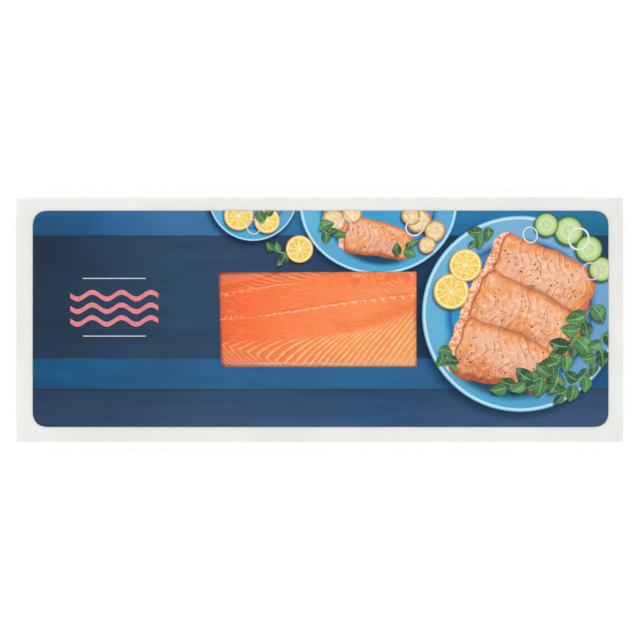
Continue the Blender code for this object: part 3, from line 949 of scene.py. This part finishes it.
# Printed lemon, cucumber, potato and onion
# Round slices of lemon and cucumber, halved boiled potatoes and thin rings of onion, printed in inks
# round the fish.
LEMONS = [(130.0, 28.0, 17.5, 10.0), (144.0, 54.0, 16.0, 40.0), (-80.0, 103.0, 14.5, 25.0),
          (-52.0, 98.0, 12.5, 70.0), (-20.0, 70.0, 13.5, 15.0)]
CUCUMBERS = [(246.0, 88.0, 14.5, 0.0), (278.0, 50.0, 12.5, 25.0), (266.0, 70.0, 13.5, 50.0),
             (224.0, 94.0, 12.0, 10.0)]
POTATOES = [(98.0, 98.0, 12.0, 0.0), (114.0, 88.0, 10.5, 40.0), (90.0, 103.0, 9.5, 80.0),
            (14.0, 98.0, 12.0, 120.0), (32.0, 105.0, 10.0, 200.0), (106.0, 74.0, 8.5, 10.0)]
ONIONS = [(256.0, 80.0, 11.0, 20.0), (208.0, 84.0, 8.0, 60.0), (94.0, 92.0, 9.5, 0.0),
          (24.0, 92.0, 8.5, 50.0), (-65.0, 92.0, 7.5, 30.0), (268.0, 48.0, 9.0, 80.0)]

lemon_ink, tree, shader = new_material("ink_lemon")
along, across, _, radius = within()
pulp = fade(noise(object_place(), 420.0, 3.0), 0.35, 0.65)
lemon = blend_colour(pulp, srgb(236, 192, 70), srgb(250, 222, 126))
turns = add_node("Math", {0: across, 1: along}, operation="ARCTAN2").outputs[0]
nine_parts = times(turns, 9 / (2 * math.pi))
walls = stripe(nine_parts, over(0.06, calc("MAXIMUM", radius, 0.2)))
lemon = painted(lemon, times(walls, 0.85), 252, 238, 190)
lemon = painted(lemon, fade(radius, 0.14, 0.08), 252, 240, 200)
lemon = painted(lemon, fade(radius, 0.80, 0.85), 252, 242, 206)
lemon = painted(lemon, fade(radius, 0.89, 0.93), 240, 186, 44)
finish_ink(shader, lemon)

cucumber_ink, tree, shader = new_material("ink_cucumber")
along, across, _, radius = within()
cucumber = ramp_along(radius, [(0.0, (212, 228, 180)), (0.30, (190, 214, 146)), (0.55, (206, 224, 168)),
                               (0.82, (176, 206, 126)), (0.92, (96, 142, 68)), (1.0, (46, 92, 48))])
turns = add_node("Math", {0: across, 1: along}, operation="ARCTAN2").outputs[0]
twelve_parts = times(turns, 12 / (2 * math.pi))
seeds = times(stripe(twelve_parts, 0.28), ridge(radius, 0.44, 0.14), 0.7)
finish_ink(shader, painted(cucumber, seeds, 236, 241, 214))

potato_ink, tree, shader = new_material("ink_potato")
radius = within()[3]
mealy = fade(noise(object_place(), 260.0, 3.0), 0.35, 0.65)
potato = blend_colour(mealy, srgb(234, 198, 140), srgb(250, 228, 184))
finish_ink(shader, painted(potato, fade(radius, 0.66, 0.98, 0.0, 0.85), 176, 112, 62))

onion_ink, tree, shader = new_material("ink_onion")
_, across, tint, _ = within()
onion = blend_colour(tint, srgb(232, 238, 226), srgb(228, 190, 206))
finish_ink(shader, painted(onion, fade(across, -0.2, -1.0, 0.0, 0.7), 150, 170, 176))


def onion_outline(u, v):
    """A thin uneven ring."""
    around = math.pi * (u + 1)
    radius = 0.90 + 0.09 * v + 0.05 * np.sin(2 * around)
    return radius * np.cos(around), radius * np.sin(around)


onion_shape = grid_shape("onion_shape", 48, 1, onion_outline)
for name, places_list, shape, ink, layer in (
        ("potatoes", POTATOES, lumpy_disc, potato_ink, 5), ("cucumbers", CUCUMBERS, disc, cucumber_ink, 9),
        ("lemons", LEMONS, disc, lemon_ink, 9), ("onions", ONIONS, onion_shape, onion_ink, 10.5)):
    if shape != onion_shape:
        shadows = [printed_copy(disc, px - 1.2, py - 1.8, size * 1.16, layer=layer - 1 + n * OWN_STEP,
                                tint=0.3)
                   for n, (px, py, size, _) in enumerate(places_list)]
        print_pieces(f"print_{name}_shadows", shadows, shadow_ink)
    copies = [printed_copy(shape, px, py, size, turn, layer=layer + n * OWN_STEP, tint=n / 5)
              for n, (px, py, size, turn) in enumerate(places_list)]
    print_pieces(f"print_{name}", copies, ink)


# Printed leaves
# Sprigs of green herb leaves on thin stems at the plate's lower right, on the dishes and by the
# lemons, printed in inks, each leaf with a paler rib.
SPRIGS = [  # stalk start x, y, direction, leaf length, leaves, curl in degrees
    (268.0, 14.0, -112.0, 22.0, 7, -30.0),
    (252.0, -18.0, -118.0, 23.0, 7, -34.0),
    (236.0, -52.0, -160.0, 22.0, 7, -14.0),
    (280.0, -14.0, -100.0, 19.0, 6, -40.0),
    (262.0, -56.0, -150.0, 18.0, 5, 30.0),
    (166.0, 92.0, -140.0, 16.0, 4, 30.0),
    (78.0, 64.0, 30.0, 13.0, 4, 20.0),
    (0.0, 90.0, -30.0, 14.0, 4, 30.0),
    (-54.0, 98.0, 70.0, 12.0, 3, 20.0),
    (-34.0, 66.0, 170.0, 14.0, 3, -30.0),
    (118.0, -30.0, -60.0, 15.0, 4, 20.0),
]
LEAF_LAYER = 12.5
LEAF_STEP = 0.06

leaf_ink, tree, shader = new_material("ink_leaf")
along, across, tint, _ = within()
far_across = calc("ABSOLUTE", across)
leafy = noise(object_place(), 120.0, 3.0)
green = blend_colour(tint, srgb(32, 74, 52), srgb(84, 142, 76))
green = painted(green, fade(leafy, 0.40, 0.68, 0.0, 0.65), 128, 178, 122)
green = painted(green, fade(across, 0.05, -0.05, 0.0, 0.40), 28, 66, 46)
vein_value = less(times(along, 3.2), times(far_across, 0.9))
green = painted(green, times(stripe(vein_value, 0.12), 0.22), 160, 200, 140)
green = painted(green, fade(far_across, 0.70, 1.0, 0.0, 0.55), 20, 50, 38)
green = painted(green, fade(far_across, 0.10, 0.04, 0.0, 0.55), 170, 208, 150)
finish_ink(shader, painted(green, fade(tint, 1.2, 1.6), 150, 184, 116))

stem_shape = grid_shape("stem_shape", 2, 1, lambda u, v: (0.5 * u, 0.5 * v))
leaf_copies = []
shade_copies = []
for s, (px, py, heading, length, leaves, curl) in enumerate(SPRIGS):
    for n in range(leaves):
        share = n / max(leaves - 1, 1)
        side = -1 if n % 2 else 1
        turn = heading + side * (62 - 40 * share) * (n < leaves - 1) + 12 * math.sin(s * 2.3 + n * 1.7)
        size = length * (1.0 - 0.28 * share) * (1 + 0.14 * math.sin(s + n * 2.1))
        tint_value = 0.5 + 0.48 * math.sin(s * 1.9 + n * 2.6)
        step_x, step_y = [0.40 * length * f(math.radians(heading)) for f in (math.cos, math.sin)]
        layer = LEAF_LAYER + LEAF_STEP * len(leaf_copies)
        if n < leaves - 1:
            stem_place = (px + step_x / 2, py + step_y / 2, 0.44 * length, heading)
            leaf_copies.append(printed_copy(stem_shape, *stem_place, 0.9, layer, 2.0))
        leaf_copies.append(printed_copy(leaf_shape, px, py, size, turn, size, layer + LEAF_STEP / 2,
                                        tint_value))
        if n % 2 == 0:
            middle = [0.45 * size * f(math.radians(turn)) for f in (math.cos, math.sin)]
            place = (px + middle[0] - 1.5, py + middle[1] - 2.5, size * 0.60, turn, size * 0.36)
            shade_copies.append(printed_copy(disc, *place, 11.5 + LEAF_STEP * len(shade_copies) / 2, 1.0))
        px += step_x
        py += step_y
        heading += curl / leaves
print_pieces("print_leaf_shadows", shade_copies, shadow_ink)
print_pieces("print_leaves", leaf_copies, leaf_ink)


# Printed waves and rules
# Plain coral waves between thin white rules at the panel's left, printed in flat ink.
WAVES = [(-203.0, 24.0), (-203.0, 11.5), (-203.0, -1.0)]
WAVE_LENGTH = 87.0
RULES = [(-203.0, 41.0, 62.0), (-203.0, -16.0, 62.0)]
RULE_WIDTH = 0.8


def wave_outline(u, v):
    return 0.5 * u, 0.5 * v * 0.055 + 0.038 * np.sin(3 * math.pi * u)


coral_ink, tree, shader = new_material("ink_coral")
fleck = noise(object_place(), 900.0, 3.0)
coral = blend_colour(fade(fleck, 0.35, 0.6), srgb(214, 118, 124), srgb(236, 140, 142))
finish_ink(shader, coral)
white_ink, tree, shader = new_material("ink_white")
fleck = noise(object_place(), 700.0, 2.0)
white = blend_colour(fade(fleck, 0.3, 0.6), srgb(214, 218, 224), srgb(232, 235, 238))
finish_ink(shader, white)
wave_shape = grid_shape("wave_shape", 72, 1, wave_outline)
wave_copies = [printed_copy(wave_shape, px, py, WAVE_LENGTH, layer=3) for px, py in WAVES]
print_pieces("print_waves", wave_copies, coral_ink)
rule_copies = [printed_copy(stem_shape, px, py, length, width=RULE_WIDTH, layer=3)
               for px, py, length in RULES]
print_pieces("print_rules", rule_copies, white_ink)
for shape in (disc, lumpy_disc, leaf_shape, portion_shape, onion_shape, stem_shape, wave_shape):
    bpy.data.objects.remove(shape)


# Floor, light and camera
# A pale photographic table, lit from all round by soft light, seen from straight above through a
# long lens, as a pack is photographed for a shop.
FLOOR_SIZE = 8.0
FLOOR_GAP = 0.0002
LAMP_TILT = 32.0
LAMP_ENERGY = 0.60
LAMP_ANGLE = 22.0
CAMERA_PLACE = (0.00026, -0.0001, 3.5483)

bpy.ops.object.select_all(action="DESELECT")
bpy.ops.mesh.primitive_plane_add(size=FLOOR_SIZE, location=(0.0, 0.0, -FLOOR_GAP))
floor = bpy.context.object
floor.name = "floor"
floor_paint, tree, shader = new_material("pale_floor")
fill(shader, {"Base Color": (0.92, 0.92, 0.92, 1.0), "Roughness": 0.9,
              "Emission Color": (1.0, 1.0, 1.0, 1.0), "Emission Strength": 0.20})
floor.data.materials.append(floor_paint)

world = bpy.data.worlds.new("soft_studio")
bpy.context.scene.world = world
world.use_nodes = True
tree = world.node_tree
direction = add_node("TexCoord").outputs["Generated"]
height = add_node("SeparateXYZ", {0: direction}).outputs[2]
sky = add_node("ValToRGB", {0: height})
sky.color_ramp.elements[0].position = 0.0
sky.color_ramp.elements[0].color = (1.0, 1.0, 1.0, 1.0)
sky.color_ramp.elements[1].position = 1.0
sky.color_ramp.elements[1].color = (0.2, 0.2, 0.2, 1.0)
low_sky = sky.color_ramp.elements.new(0.5)
low_sky.color = (0.45, 0.45, 0.45, 1.0)
fill(tree.nodes["Background"], {"Color": sky.outputs[0]})

for n, turn in enumerate((45, 135, 225, 315)):
    lamp = bpy.data.lights.new(f"softbox_{n}", "SUN")
    lamp.energy = LAMP_ENERGY
    lamp.angle = math.radians(LAMP_ANGLE)
    stand = bpy.data.objects.new(f"softbox_{n}", lamp)
    stand.rotation_euler = (math.radians(LAMP_TILT), 0.0, math.radians(turn))
    bpy.context.scene.collection.objects.link(stand)

lens = bpy.data.cameras.new("camera")
lens.lens = 200.0
lens.sensor_width = 36.0
camera = bpy.data.objects.new("camera", lens)
camera.location = CAMERA_PLACE
bpy.context.scene.collection.objects.link(camera)
bpy.context.scene.camera = camera
bpy.context.scene.view_settings.view_transform = "Standard"
